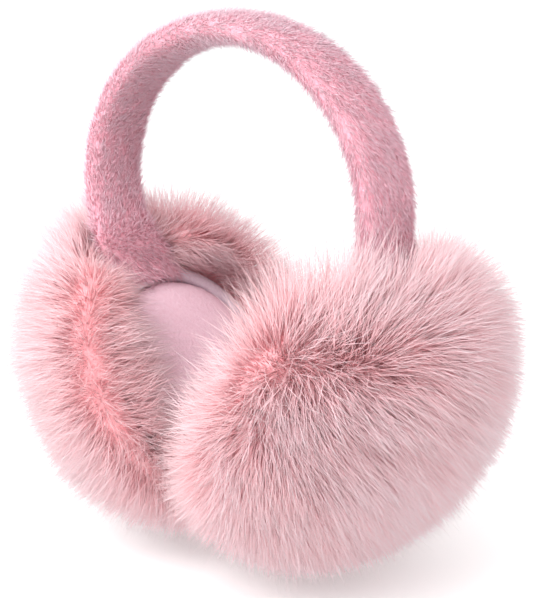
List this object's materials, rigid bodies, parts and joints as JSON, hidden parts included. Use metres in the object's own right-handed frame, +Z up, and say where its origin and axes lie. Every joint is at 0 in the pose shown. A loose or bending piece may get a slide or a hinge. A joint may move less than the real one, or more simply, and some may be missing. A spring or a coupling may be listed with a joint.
{
  "type": "fur earmuffs",
  "caption": "Fluffy fur earmuffs: a plush headband arch between two deep-fur muffs, each with a velour ear pad in a satin rim.",
  "frame": {"origin": "on the surface the muffs stand on, at the middle of the outline seen from above", "axes": "+Z up from the surface to the crown of the headband, X from ear to ear with the wearer's left muff at -X, -Y to the front"},
  "size_m": [0.217, 0.1496, 0.2233],
  "materials": {
    "plush": "matte",
    "deep_fur": "matte",
    "velour": "matte",
    "satin": "satin"
  },
  "bodies": {
    "root": {"headband": "plush", "ear_fur_left": "deep_fur", "ear_fur_right": "deep_fur", "ear_pad_left": "velour", "ear_pad_right": "velour", "pad_rim_left": "satin", "pad_rim_right": "satin"}
  },
  "joints": []
}
